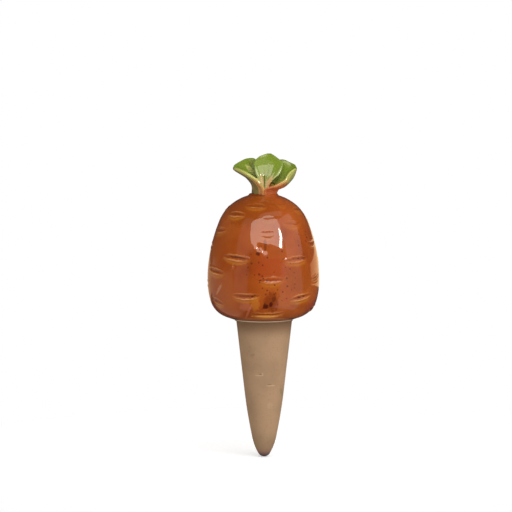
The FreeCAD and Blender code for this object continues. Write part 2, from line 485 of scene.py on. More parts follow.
def pressMarks(g, given, marks, surface):
    # one turn a mark: adds up how far the surface rises and how much of each tint it takes
    look = carvedMarks
    ripple = {"Scale": look["wanderScale"], "Detail": 1.0}
    wander = (g.shader("TexNoise", ripple, {"noise_dimensions": "3D"}) - 0.5) * given["wander"]
    for name in ("rise", "groove", "lip", "pool"):
        surface = storeNumber(g, surface, name, 0.0)
    repeatIn = g.tree.nodes.new("GeometryNodeRepeatInput")
    repeatOut = g.tree.nodes.new("GeometryNodeRepeatOutput")
    repeatIn.pair_with_output(repeatOut)
    g.tree.links.new(countPoints(g, marks).socket, repeatIn.inputs["Iterations"])
    g.tree.links.new(surface.socket, repeatIn.inputs["Geometry"])
    turn = Wire(g, repeatIn.outputs["Iteration"])
    inside = Wire(g, repeatIn.outputs["Geometry"])

    def ofMark(kind, value):
        return g.geometry("SampleIndex", {0: marks, 1: value, 2: turn}, {"data_type": kind})

    def number(name):
        return ofMark("FLOAT", storedNumber(g, name))

    def dotWith(name):
        settings = {"data_type": "FLOAT_VECTOR"}
        value = g.geometry("InputNamedAttribute", {0: name}, settings)
        return g.dot(away, ofMark("FLOAT_VECTOR", value))

    place = g.geometry("InputPosition")
    away = g.vector("SUBTRACT", place, ofMark("FLOAT_VECTOR", place))
    u = dotWith("along") / number("halfLength")
    v = dotWith("across") - number("bow") * (u * u) + wander
    near = dotWith("outwards").above(-given["reach"])
    lens = (1 - u * u).atLeast(0) * near
    root = lens ** look["lipPower"]
    spread = given["lipSpread"] * root
    soft = given["lipSoftness"]
    upper = v.bell(spread, soft * look["upperWidth"]) * root
    lower = v.bell(-spread, soft) * root
    pool = v.bell(spread * -look["poolPlace"], soft * look["poolWidth"]) * root
    lip = upper * look["upperLip"] + lower
    slitWidth = look["slitAtEnds"] + (1 - look["slitAtEnds"]) * lens
    slit = v.bell(0, given["slitSoftness"] * slitWidth) * lens
    tint = number("tint")
    added = {
        "rise": (lip * given["lipRise"] - slit * given["slitDepth"]) * number("weight"),
        "groove": slit * tint,
        "lip": lip * tint,
        "pool": pool * tint,
    }
    for name, value in added.items():
        inside = storeNumber(g, inside, name, storedNumber(g, name) + value)
    g.tree.links.new(inside.socket, repeatOut.inputs["Geometry"])
    return Wire(g, repeatOut.outputs["Geometry"])


def tiltBlisters(g, place, outline, rise):
    # each blister leans the surface round its middle, so that it mirrors another way
    for azimuth, height, radius, facing, steepness in carvedMarks["blisters"]:
        middle, outwards, sideways = onHead(azimuth, height, outline)
        angle = radians(facing)
        towards = sideways * cos(angle) + outwards.cross(sideways) * sin(angle)
        near = g.vector("DISTANCE", place, middle, output=1).bell(0, radius)
        rise = rise - near * g.dot(g.vector("SUBTRACT", place, middle), towards) * steepness
    return rise


def cutAway(g, surface, cutters):
    made = g.tree.nodes.new("GeometryNodeMeshBoolean")
    made.operation = "DIFFERENCE"
    made.solver = "MANIFOLD"
    g.tree.links.new(surface.socket, made.inputs["Mesh 1"])
    for cutter in cutters:
        g.tree.links.new(objectGeometry(g, cutter).socket, made.inputs["Mesh 2"])
    return Wire(g, made.outputs["Mesh"])


def markedTree(materials, outline):
    # presses the marks, bends the surface a little, shifts the spike and opens the hollow
    look = turnedBody
    ofMarks = ("lipSpread", "lipSoftness", "lipRise", "slitSoftness", "slitDepth", "wander", "reach")
    inputs = [("Surface", "Geometry", None)]
    inputs += [(name, "Object", None) for name in ("Marks", "Hollow", "Hole")]
    inputs += [(name, "Float", carvedMarks[name]) for name in ofMarks]
    inputs += [(name, "Float", look[name]) for name in ("unevenness", "spikeShift")]
    inputs += [("Seed", "Int", look["seed"])]
    tree, ids, g, given = newTree("marked", inputs, "Piece")
    surface = pressMarks(g, given, objectGeometry(g, given["Marks"]), given["Surface"])
    place = g.geometry("InputPosition")
    height = separate(g, place, 2)
    onGlaze = height.ramp(*look["glazeStart"])
    surface = storeNumber(g, surface, "glazed", onGlaze)
    seed = given["Seed"] * look["seedStep"]
    elsewhere = g.vector("ADD", place, g.shader("CombineXYZ", {0: seed, 1: seed}))
    bumps = (noise(g, elsewhere, look["unevenScale"], 2.0, 0.4) - 0.5) * given["unevenness"] * 2
    clayShare = look["unevenOnClay"]
    rise = tiltBlisters(g, place, outline, storedNumber(g, "rise"))
    amount = rise + bumps * (clayShare + (1 - clayShare) * onGlaze)
    normal = g.geometry("InputNormal")
    offset = g.shader("VectorMath", {0: normal, "Scale": amount}, {"operation": "SCALE"})
    aside = height.fall(*look["shiftEnd"], given["spikeShift"])
    offset = g.vector("ADD", offset, g.shader("CombineXYZ", {0: aside}))
    surface = g.geometry("SetPosition", {0: surface, 3: offset})
    surface = cutAway(g, surface, (given["Hollow"], given["Hole"]))
    surface = g.geometry("SetShadeSmooth", {0: surface, "Shade Smooth": True})
    surface = g.geometry("RealizeInstances", {0: surface})
    surface = g.geometry("SetMaterial", {0: surface, 2: materials["body"]})
    g.node("NodeGroupOutput", {0: surface})
    return tree, ids


def turnObject(name, points, columns, tree, ids):
    edges = [(k, k + 1) for k in range(len(points) - 1)]
    made = meshObject(name, [(r, 0, z) for r, z in points], edges)
    modifier = made.modifiers.new("turned", "NODES")
    modifier.node_group = tree
    modifier[ids["Columns"]] = columns
    mesh = plainMesh(made, name)
    dropObject(made)
    return linkObject(name, mesh)


def holePlug(outline, tree, ids):
    # the round hole with its flared lip, as a solid to cut away
    hole = fillHole
    point, outwards, sideways = onHead(hole["azimuth"], hole["height"], outline)
    reach = turnedBody["wall"] * 2
    foot = (hole["diameter"] / 2, -reach)
    steps = [
        ("run", reach - hole["lipDepth"]),
        ("arc", hole["lipRound"], hole["lipHeading"]),
        ("run", hole["lipRound"] * 2),
    ]
    flare, end, _ = followOutline(foot, 0, steps, hole["spacing"])
    points = [(0, -reach), foot] + flare + [(end[0], reach), (0, reach)]
    plug = turnObject("hole", points, hole["sides"], tree, ids)
    glazedAbove = -hole["lipDepth"] - hole["glazeReach"]
    glazed = [float(vertex.co.z > glazedAbove) for vertex in plug.data.vertices]
    noteOnPoints(plug.data, "glazed", glazed)
    upright = Matrix((sideways, outwards.cross(sideways), outwards)).transposed().to_4x4()
    plug.data.transform(Matrix.Translation(point) @ upright)
    return plug


def buildBody(materials):
    tree, ids = turnedTree()
    outline = outerOutline()
    body = turnObject("stakeBody", outline, turnedBody["columns"], tree, ids)
    used = {
        "Hollow": turnObject("hollow", hollowOutline(), turnedBody["hollowColumns"], tree, ids),
        "Hole": holePlug(outline, tree, ids),
        "Marks": marksObject(outline),
    }
    modifier = body.modifiers.new("marked", "NODES")
    modifier.node_group, markedIds = markedTree(materials, outline)
    for name, made in used.items():
        modifier[markedIds[name]] = made
    keepResult(body)
    for made in used.values():
        dropObject(made)
    print("body made,", len(body.data.polygons), "faces")
    return body


# The leaf crown. A leaf is a list of stations from root to tip: near margin, keel, far margin,
# thickness at the keel and thickness of the rims.
leafCrown = {
    "left": [
        ((-1.5, -6.1, 64), (-6.2, 0, 64), (-1.5, 4.6, 64), 3.2, 2.3),
        ((-1.9, -6.9, 68.2), (-6.2, -1, 69.2), (-2.2, 5.4, 72), 3.8, 2.3),
        ((-4.8, -7.2, 72), (-9.1, -1.6, 73.3), (-5, 5.4, 80.7), 4.6, 2.1),
        ((-9.2, -6.4, 75), (-12.1, -1.4, 75.2), (-9.2, 4.6, 81.7), 4.2, 1.8),
        ((-13, -4, 76.9), (-14.4, -0.6, 76.4), (-13.1, 3, 80), 2.8, 1.5),
        ((-15.3, -1.2, 77.7), (-15.8, 0, 77.5), (-15.4, 1, 78.8), 1.2, 1),
    ],
    "right": [
        ((1.7, -6.2, 64), (6.6, 0, 64), (1.5, 4.6, 64), 3.2, 1.8),
        ((2.2, -6.9, 67.1), (7.9, -2, 67.1), (2.8, 5.4, 72), 3.8, 1.9),
        ((7, -7.4, 68.8), (10.4, -3.4, 68.2), (6.4, 5, 79.4), 5, 1.9),
        ((11.5, -6.6, 71.2), (13.4, -2.6, 70.6), (10.6, 4.5, 80.9), 4.6, 1.9),
        ((13.8, -4.8, 75), (15.7, -1.6, 73.7), (14.4, 3.2, 79.6), 3, 1.6),
        ((16.8, -1.4, 77.6), (17.3, 0, 77.4), (16.8, 1.2, 78.9), 1.2, 1),
    ],
    "front": [
        ((0.9, -5.9, 64), (0.3, -5.1, 64), (-0.4, -5.9, 64), 1.8, 1.2),
        ((1.2, -6.6, 67.8), (0.4, -5.2, 67.7), (-0.6, -6.6, 67.8), 2, 1.4),
        ((3.9, -6.3, 72), (1.2, -4.8, 71.8), (-1.7, -6.2, 72), 2.4, 1.7),
        ((7.2, -6.3, 75), (2.3, -4, 74.8), (-3, -6.1, 75), 2.8, 1.8),
        ((9.2, -4.8, 79.2), (2.8, -2.8, 79.1), (-4.1, -4.8, 79.2), 2.2, 1.5),
        ((8.9, -3.5, 81.6), (2.8, -1.9, 81.7), (-4.2, -3.5, 81.6), 1.7, 1.2),
        ((6, -1.6, 84.1), (2.8, -0.6, 84.2), (-1.8, -1.6, 84.1), 1.2, 1),
        ((3.8, -0.4, 85.6), (2.9, 0, 85.7), (1.9, -0.4, 85.6), 0.8, 0.8),
    ],
    "back": [
        ((-3.4, 2.6, 64), (0, 5.9, 64), (3.4, 2.6, 64), 3, 1.8),
        ((-3.6, 4.2, 69), (0.2, 7.2, 69), (4, 4.2, 69), 2.8, 1.8),
        ((-4.6, 6.2, 73.4), (0.4, 8.8, 73.2), (5.4, 6.2, 73.4), 2.6, 1.8),
        ((-5.2, 8.2, 77.4), (0.6, 10, 77.2), (6.6, 8.2, 77.4), 2.4, 1.7),
        ((-3.9, 9.2, 80.4), (0.8, 10.6, 80.3), (5.2, 9.2, 80.4), 2, 1.4),
        ((-1, 9.9, 82.4), (0.9, 10.5, 82.4), (2.6, 9.9, 82.4), 1.2, 1),
    ],
    "heart": [(0, 64), (5.8, 64), (5.8, 66.6), (5.2, 68.6), (4.2, 71), (2.6, 73), (0, 73.6)],
    "heartColumns": 72,
    "rowsPerStation": 14,
    "facePoints": 34,
    "rimPoints": 7,
    "veins": 5,
    "veinReach": 0.7,
    "veinShortening": 0.35,
    "veinDepth": 0.2,
    "veinWidth": 0.07,
    "veinMargin": 0.8,
    "veinSpread": (0.75, 0.35),
    "veinFades": (6, 5),
    "voxel": 0.26,
    "smoothing": 4,
    "smoothingFactor": 0.5,
}
leafOrder = ("left", "right", "front", "back", "heart")


def curveThrough(values, share):
    # a smooth curve through evenly spaced values, at a share of its whole run
    spans = len(values) - 1
    place = min(share * spans, spans - 1e-9)
    k = int(place)
    t = place - k
    before = values[max(k - 1, 0)]
    after = values[min(k + 2, spans)]
    result = []
    for a, b, c, d in zip(before, values[k], values[k + 1], after):
        square = 2 * a - 5 * b + 4 * c - d
        cube = 3 * (b - c) + d - a
        result.append(b + 0.5 * t * (c - a + t * (square + t * cube)))
    return result


def arcThrough(first, middle, last, count):
    # evenly spaced points on the circle arc through three points
    chord = last - first
    rise = middle - first
    normal = chord.cross(rise)
    square = normal.length_squared
    toCentre = chord.length_squared * rise.cross(normal) - rise.length_squared * chord.cross(normal)
    toCentre /= 2 * square
    centre = first + toCentre
    radius = toCentre.length
    axis = normal.normalized()
    one = (first - centre) / radius
    two = axis.cross(one)
    angle = atan2((last - centre).dot(two), (last - centre).dot(one))
    through = atan2((middle - centre).dot(two), (middle - centre).dot(one))
    if through < 0 and angle > 0:
        angle -= tau
    if through > 0 and angle < 0:
        angle += tau
    turns = [angle * k / (count - 1) for k in range(count)]
    return [centre + (one * cos(a) + two * sin(a)) * radius for a in turns]


def cupDirections(near, keel, far):
    # along the chord of a section, and from its keel into the cup
    chord = (far - near).normalized()
    inwards = (near + far) * 0.5 - keel
    return chord, (inwards - chord * inwards.dot(chord)).normalized()


def leafRing(near, keel, far, thickness, edge):
    # closed ring of points round one section, each with (side, across): side 0 on the outer face and
    # 1 on the cupped one, across -1 to 1
    chord, inwards = cupDirections(near, keel, far)
    count = leafCrown["facePoints"]
    outer = arcThrough(near, keel, far, count)
    inner = arcThrough(near + inwards * edge, keel + inwards * thickness, far + inwards * edge, count)
    places = [2 * k / (count - 1) - 1 for k in range(count)]
    ring = [(point, 0.0, across) for point, across in zip(outer, places)]
    ring += rimPoints(outer[-1], inner[-1], chord, 1.0)
    ring += [(point, 1.0, across) for point, across in zip(inner[::-1], places[::-1])]
    ring += rimPoints(inner[0], outer[0], -chord, -1.0)
    return ring


def rimPoints(first, last, outwards, across):
    middle = (first + last) * 0.5
    radius = (last - first).length / 2
    up = (last - first).normalized()
    count = leafCrown["rimPoints"]
    points = []
    for k in range(1, count):
        angle = pi * (k / count - 0.5)
        point = middle + (up * sin(angle) + outwards * cos(angle)) * radius
        side = k / count if across > 0 else 1 - k / count
        points.append((point, side, across))
    return points


def veinDepth(across, along):
    # how deep the fanning veins are pressed into the cupped face
    crown = leafCrown
    half = (crown["veins"] - 1) / 2
    narrow, widening = crown["veinSpread"]
    rootFade, endFade = crown["veinFades"]
    depth = 0.0
    for k in range(crown["veins"]):
        line = (k - half) / (half + crown["veinMargin"])
        bend = line * (narrow + widening * along)
        reach = crown["veinReach"] * (1 - abs(line) * crown["veinShortening"])
        fade = max(0.0, min(1.0, (reach - along) * endFade)) * min(1.0, along * rootFade)
        depth += fade * exp(-((across - bend) / crown["veinWidth"]) ** 2)
    return depth * crown["veinDepth"]


def leafMesh(stations):
    crown = leafCrown
    rows = (len(stations) - 1) * crown["rowsPerStation"] + 1
    vertices = []
    notes = []
    for row in range(rows):
        share = row / (rows - 1)
        near, keel, far = (Vector(curveThrough([s[k] for s in stations], share)) for k in range(3))
        thickness, edge = curveThrough([s[3:] for s in stations], share)
        _, inwards = cupDirections(near, keel, far)
        for point, side, across in leafRing(near, keel, far, thickness, edge):
            depth = veinDepth(across, share) if side == 1.0 else 0.0
            vertices.append(point - inwards * depth)
            notes.append((side, across, share, depth / crown["veinDepth"]))
    width = len(vertices) // rows
    faces = []
    for row in range(rows - 1):
        for k in range(width):
            a = row * width + k
            b = row * width + (k + 1) % width
            faces.append((a, b, b + width, a + width))
    faces.append(tuple(range(width))[::-1])
    faces.append(tuple(range((rows - 1) * width, rows * width)))
    return vertices, faces, notes


def crownParts():
    # the four leaves and the heart, still one through the other, with the notes of every point
    crown = leafCrown
    vertices = []
    faces = []
    notes = []

    def add(points, cells, facts):
        base = len(vertices)
        vertices.extend(points)
        faces.extend(tuple(base + k for k in cell) for cell in cells)
        notes.extend(facts)

    for kind, name in enumerate(leafOrder[:4]):
        points, cells, facts = leafMesh(crown[name])
        add(points, cells, [(kind, *fact) for fact in facts])
    heart = turnObject("heart", crown["heart"], crown["heartColumns"], *turnedTree())
    points = [vertex.co.copy() for vertex in heart.data.vertices]
    cells = [face.vertices for face in heart.data.polygons]
    add(points, cells, [(leafOrder.index("heart"), 0.0, 0.0, 0.0, 0.0)] * len(points))
    dropObject(heart)
    return vertices, faces, notes


def buildCrown(materials):
    vertices, faces, notes = crownParts()
    crown = meshObject("leafCrown", vertices, (), faces)
    remesh = crown.modifiers.new("union", "REMESH")
    remesh.mode = "VOXEL"
    remesh.voxel_size = leafCrown["voxel"]
    smooth = crown.modifiers.new("smooth", "SMOOTH")
    smooth.factor = leafCrown["smoothingFactor"]
    smooth.iterations = leafCrown["smoothing"]
    keepResult(crown)
    mesh = crown.data
    carryNotes(mesh, vertices, notes)
    mesh.materials.clear()
    mesh.materials.append(materials["leaf"])
    mesh.polygons.foreach_set("use_smooth", [True] * len(mesh.polygons))
    print("crown made,", len(mesh.polygons), "faces")
    return crown


def carryNotes(mesh, vertices, notes):
    # gives each remeshed point what its nearest leaf point knew of its place on the leaf
    tree = KDTree(len(vertices))
    for k, point in enumerate(vertices):
        tree.insert(point, k)
    tree.balance()
    nearest = [notes[tree.find(vertex.co)[1]] for vertex in mesh.vertices]
    for name, values in zip(("kind", "side", "across", "along", "vein"), zip(*nearest)):
        noteOnPoints(mesh, name, values)


def newMaterial(name):
    material = bpy.data.materials.new(name)
    material.use_nodes = True
    material.node_tree.nodes.clear()
    return material, Graph(material.node_tree)


# How the glaze mirrors, by input of the shader.
gloss = {"Specular IOR Level": 0.05, "Coat Roughness": 0.03}
patchEdge = (0.4, 1.4)


def finishMaterial(g, inputs):
    shader = g.shader("BsdfPrincipled", {**gloss, **inputs})
    g.shader("OutputMaterial", {0: shader})


def objectPlace(g):
    # where the shaded point is, as a vector in metres and as x, y and z in millimetres
    place = g.shader("TexCoord", {}, {}, "Object")
    return place, [separate(g, place, axis) / mm for axis in range(3)]


def attribute(g, name):
    return g.shader("Attribute", {}, {"attribute_name": name}, "Fac")


def patch(place, ragged, x, z, wide, high, tilt):
    # 1 inside a ragged spot as seen from the front, sizes in millimetres
    turn = radians(tilt)
    aside = place[0] - x
    upwards = place[2] - z
    across = (aside * cos(turn) - upwards * sin(turn)) / wide
    along = (aside * sin(turn) + upwards * cos(turn)) / high
    return (across * across + along * along + ragged).fall(*patchEdge)


def patchLayers(place, ragged, rows, share=1):
    return [(patch(place, ragged, *area) * share * strength, tint) for *area, tint, strength in rows]


def layered(g, colours, first, layers):
    # the first colour with others laid over it, each by its mask
    made = colour(*colours[first])
    for mask, name in layers:
        made = g.mix(mask, made, colour(*colours[name]))
    return made


# The glaze of the head over the clay of the spike, millimetres. A patch on the front is x, height,
# half width, half height, tilt to the right in degrees, colour and strength; the specks lie in such
# places too. A noise is scale and detail. A ramp is where a tint starts, where it is full and its
# strength if under 1; a fall is the same downwards.
bodyFinish = {
    "glaze": (165, 75, 18),
    "glazeThin": (176, 90, 32),
    "glazeDeep": (132, 54, 12),
    "glazeRed": (166, 60, 22),
    "glazeBrown": (148, 68, 10),
    "glazeWine": (150, 52, 44),
    "blotch": (84, 26, 6),
    # the raised lips of the marks: lighter glaze on the ridge, partly a painted highlight
    "lip": (240, 170, 100),
    "pool": (190, 112, 26),
    "slit": (112, 50, 14),
    "speck": (84, 30, 10),
    # painted highlight: the bare clay bead at the junction is painted much paler than the clay
    "beadHighlight": (230, 204, 174),
    # painted reflections: a pale streak, a pink streak and a pink patch, low on the left of the head
    "reflectedStreak": (200, 142, 108),
    "pinkReflection": (188, 100, 62),
    "ochre": (240, 158, 60),
    "clay": (176, 142, 110),
    "clayDark": (138, 112, 86),
    "clayShade": (130, 99, 73),
    "clayPink": (140, 102, 90),
    "clayTip": (82, 70, 74),
    "clayStain": (120, 118, 70),
    "clayPale": (206, 172, 140),
    "patches": [
        (-6, 57, 13, 8, 0, "glazeBrown", 0.8),
        (3.5, 28, 9, 8, 0, "glazeRed", 0.5),
        (26.5, 2.5, 5.5, 9, 0, "glazeWine", 0.7),
        (18.3, 10.5, 5, 3, 10, "glazeBrown", 0.5),
        (18, 23, 8, 8, 0, "glazeBrown", 0.5),
        (4, 11.8, 3.9, 5.2, 0, "glazeDeep", 0.8),
        (0.9, 9.6, 1.6, 1.5, -30, "blotch", 1),
        (3.8, 10.6, 1, 1.5, 20, "blotch", 1),
        (5.1, 13.2, 1, 1.6, 20, "blotch", 0.5),
        # painted reflection: a pink patch and a pink diagonal streak
        (-8.8, 9.4, 3.4, 2.4, 0, "pinkReflection", 0.5),
        (-7.6, 6.6, 0.6, 4.4, 21, "pinkReflection", 0.7),
        # painted reflection: a pale diagonal streak
        (-22.5, 17.7, 0.6, 3.4, 25, "reflectedStreak", 0.5),
        # partly the ochre glaze of the lowest lip, partly painted light for light thrown up from the floor
        (2.1, 4.2, 7.6, 0.55, 0, "ochre", 0.75),
        (-4.3, 10.6, 2.2, 4.2, 0, "ochre", 0.25),
        # painted shade: a dark line where the leaf crown sits on the head
        (-3, 64.5, 4, 0.6, 0, "slit", 0.8),
        (-2.8, 36.4, 1, 1.1, 20, "blotch", 0.8),
        (0.9, 41, 0.8, 2.8, 0, "glazeDeep", 0.9),
        (-13.2, 34.3, 4, 0.4, 6, "blotch", 0.7),
        (17.6, 33.4, 0.6, 0.4, 0, "blotch", 0.8),
        (20, 33.4, 0.9, 0.4, -6, "blotch", 0.8),
        (-1.8, 22.9, 0.8, 0.4, 0, "blotch", 0.8),
        (-5.8, 14.7, 1, 0.5, 0, "blotch", 0.9),
        (18.1, 13.5, 0.7, 0.5, 0, "blotch", 0.9),
        (20.3, 13.9, 0.7, 0.5, 0, "blotch", 0.9),
    ],
    "specks": [(4, 26, 12, 19, 0), (20, 42, 4, 7, 0)],
    "scratches": [
        (-2.4, -27.6, 2, 0.4, 0, "clayPale", 0.5),
        (-0.5, -27, 0.5, 0.8, 0, "clayPale", 0.5),
        (-1.5, -27, 0.9, 0.4, 0, "clayShade", 0.6),
        (3.9, -33, 2.3, 0.35, 0, "clayPale", 0.5),
        (3.2, -32.3, 1.2, 0.35, 0, "clayShade", 0.5),
        (-5.6, -17.2, 1.3, 0.8, -20, "clayShade", 0.3),
        (3.4, -43.5, 1.5, 1.8, 0, "clayPale", 0.2),
        (9.3, -36.8, 0.6, 2.2, -8, "clayStain", 0.5),
    ],
    "tipBands": [
        (-66, -56, 0.5, "clayDark"),
        (-69, -65, 0.6, "clayPink"),
        (-70.5, -67.5, 0.9, "clayTip"),
    ],
    "noises": {
        "broad": (38, 3),
        "fine": (260, 4),
        "ragged": (170, 3),
        "crumbs": (800, 2),
        "speckField": (55, 2),
        "stains": (70, 4),
        "grain": (900, 3),
        "relief": (120, 2),
    },
    "raggedness": 1.2,
    "crumbliness": 2,
    "frontEdge": (-4, 4),
    "thinRamp": (0.4, 0.75),
    "deepRamp": (0.5, 0.75),
    "redRamp": (0.5, 0.8, 0.3),
    "footFall": (1.2, 2.8, 0.55),
    "poolStrength": 0.85,
    "lipPower": 2.5,
    "lipStrength": 0.9,
    "slitStrength": 0.6,
    "speckScale": 500,
    "speckSizes": (-0.06, 0.28),
    "speckEdge": 0.08,
    "speckRamp": (0.55, 0.65),
    "speckInSlits": 0.8,
    "speckStrength": 0.75,
    "stainRamp": (0.35, 0.75, 0.45),
    "grainRamp": (0.55, 0.75, 0.3),
    "shadeRamp": (-9, -0.5, 0.9),
    "scratchRaggedness": 0.5,
    "beadRamp": (0.1, 0.3),
    "beadFall": (1.5, 2.5),
    "edgeWander": 0.3,
    "edgeRamp": (0.4, 0.6),
    "glazeRoughness": 0.35,
    "clayRoughness": 0.85,
    "clayRelief": 0.6,
    "glazeRelief": 0.5,
    "bump": {"Strength": 0.25, "Distance": 0.0002},
}


def specks(g, vector, place, ragged, back, front):
    # small dark spots, in fields of noise behind and in set places on the front
    look = bodyFinish
    values = {"Vector": vector, "Scale": look["speckScale"], "Randomness": 1.0}
    g.shader("TexVoronoi", values, {"feature": "F1"})
    distance = Wire(g, g.last.outputs["Distance"])
    cell = Wire(g, g.last.outputs["Color"])
    small, large = look["speckSizes"]
    size = separate(g, cell, 0) * (large - small) + small
    spot = distance.fall(size, size + look["speckEdge"])
    field = noise(g, vector, *look["noises"]["speckField"]).ramp(*look["speckRamp"]) * back
    for area in look["specks"]:
        field = field.atLeast(patch(place, ragged, *area) * front)
    field = (field + attribute(g, "groove") * look["speckInSlits"]).atMost(1)
    return spot * field * look["speckStrength"]


def bodyMaterial():
    material, g = newMaterial("glazeAndClay")
    look = bodyFinish
    vector, place = objectPlace(g)
    height = place[2]
    fields = {name: noise(g, vector, *facts) for name, facts in look["noises"].items()}
    broad = fields["broad"]
    fine = fields["fine"]
    grain = fields["grain"]
    crumbs = (fields["crumbs"] - 0.5) * look["crumbliness"]
    ragged = (fields["ragged"] - 0.5) * look["raggedness"] + crumbs
    back = place[1].ramp(*look["frontEdge"])
    front = 1 - back

    glaze = layered(g, look, "glaze", [
        (broad.ramp(*look["thinRamp"]), "glazeThin"),
        ((1 - broad).ramp(*look["deepRamp"]), "glazeDeep"),
        (fine.ramp(*look["redRamp"]), "glazeRed"),
        *patchLayers(place, ragged, look["patches"], front),
        # the glaze darkens to the blotch colour over the lowest few millimetres of the head
        (height.fall(*look["footFall"]), "blotch"),
        (attribute(g, "pool").atMost(1) * look["poolStrength"], "pool"),
        # lips of the marks lightened: partly lighter glaze on the ridge, partly a painted highlight
        (attribute(g, "lip").atMost(1) ** look["lipPower"] * look["lipStrength"], "lip"),
        (attribute(g, "groove").atMost(1) * look["slitStrength"], "slit"),
        (specks(g, vector, place, ragged, back, front), "speck"),
    ])
    clay = layered(g, look, "clay", [
        (fields["stains"].ramp(*look["stainRamp"]), "clayDark"),
        (grain.ramp(*look["grainRamp"]), "clayDark"),
        (height.ramp(*look["shadeRamp"]), "clayShade"),
        *patchLayers(place, ragged * look["scratchRaggedness"], look["scratches"], front),
        *((height.fall(*band), tint) for *band, tint in look["tipBands"]),
        # painted highlight: a pale band on the bead where the head meets the spike
        (height.ramp(*look["beadRamp"]) * height.fall(*look["beadFall"]), "beadHighlight"),
    ])
    edge = (attribute(g, "glazed") + (fine - 0.5) * look["edgeWander"]).ramp(*look["edgeRamp"])
    relief = grain * (1 - edge) * look["clayRelief"] + fields["relief"] * edge * look["glazeRelief"]
    finishMaterial(g, {
        "Base Color": g.mix(edge, clay, glaze),
        "Roughness": look["clayRoughness"] + edge * (look["glazeRoughness"] - look["clayRoughness"]),
        "Coat Weight": edge,
        "Normal": g.shader("Bump", {**look["bump"], "Height": relief}),
    })
    return material


leafFinish = {
    "green": (126, 146, 46),
    "greenDeep": (104, 126, 34),
    "greenPale": (158, 172, 76),
    "vein": (78, 88, 30),
    "ridge": (206, 184, 124),
    "margin": (192, 190, 100),
    "marginFront": (176, 188, 120),
    "marginLow": (208, 150, 88),
    "outer": (122, 108, 50),
    "outerDeep": (84, 66, 30),
    "orange": (190, 98, 50),
    "tan": (212, 168, 122),
    "outerPale": (152, 156, 86),
    "brownish": (108, 104, 38),
    "fold": (198, 198, 112),
    "patches": [
        (-6.4, 77.2, 1, 3.8, -48, "fold", 0.9),
        (-6.2, 80.4, 1.3, 1.5, 0, "brownish", 0.5),
        (-0.8, 72.8, 0.55, 2.8, -15, "tan", 0.9),
        (2.9, 71.8, 0.7, 3, 36, "tan", 0.9),
        (0.5, 71.4, 0.4, 4.4, 0, "vein", 0.85),
    ],
    "mottle": (130, 3),
    "kindSpread": 0.3,
    "notLeft": (0.3, 0.7),
    "pastSides": (1.2, 1.8),
    "deepRamp": (0.4, 0.7, 0.7),
    "ridgeFall": (0.15, 0.5, 0.85),
    "paleFall": (70, 78, 0.9),
    "darkVeins": 0.45,
    "paleVeins": 0.4,
    "raggedness": 1.2,
    "outerRamp": (0.4, 0.65),
    "outerPaleness": 0.85,
    "cupRamp": (0.3, 0.7),
    "lowMarginFall": (70, 74.5),
    "nearRim": (0.84, 0.94),
    "farRim": (0.86, 0.95),
    "frontBareRamp": (76, 80, 0.9),
    "rimStrength": 0.85,
    "orangeFall": (67.5, 71.5),
    "orangeWander": 4,
    "roughness": 0.35,
}


def leafMaterial():
    material, g = newMaterial("leafGlaze")
    look = leafFinish
    vector, place = objectPlace(g)
    height = place[2]
    kind = attribute(g, "kind")
    across = attribute(g, "across")
    sideLeaf = kind.fall(*look["pastSides"])
    rightLeaf = kind.bell(leafOrder.index("right"), look["kindSpread"])
    frontLeaf = kind.bell(leafOrder.index("front"), look["kindSpread"])
    vein = attribute(g, "vein").atMost(1)
    mottle = noise(g, vector, *look["mottle"])

    green = layered(g, look, "green", [
        (mottle.ramp(*look["deepRamp"]), "greenDeep"),
        (attribute(g, "along").fall(*look["ridgeFall"]) * frontLeaf, "ridge"),
        (height.fall(*look["paleFall"]) * sideLeaf, "greenPale"),
        (vein * (1 - sideLeaf) * look["darkVeins"], "vein"),
        (vein * sideLeaf * look["paleVeins"], "greenPale"),
        *patchLayers(place, (mottle - 0.5) * look["raggedness"], look["patches"]),
    ])
    outer = layered(g, look, "outer", [
        (mottle.ramp(*look["outerRamp"]), "outerDeep"),
        (rightLeaf * look["outerPaleness"], "outerPale"),
    ])
    margin = layered(g, look, "margin", [
        (frontLeaf, "marginFront"),
        (height.fall(*look["lowMarginFall"]), "marginLow"),
    ])
    leaf = g.mix(attribute(g, "side").ramp(*look["cupRamp"]), outer, green)
    nearRim = (-across).ramp(*look["nearRim"])
    farRim = across.ramp(*look["farRim"]) * (1 - sideLeaf)
    bare = height.ramp(*look["frontBareRamp"]) * frontLeaf
    rim = (nearRim + farRim).atMost(1) * (1 - bare)
    leaf = g.mix(rim * look["rimStrength"], leaf, margin)
    wavy = height + (mottle - 0.5) * look["orangeWander"]
    orange = wavy.fall(*look["orangeFall"]) * kind.ramp(*look["notLeft"]) * (1 - frontLeaf)
    finishMaterial(g, {
        "Base Color": g.mix(orange, leaf, colour(*look["orange"])),
        "Roughness": look["roughness"],
        "Coat Weight": 1.0,
    })
    return material


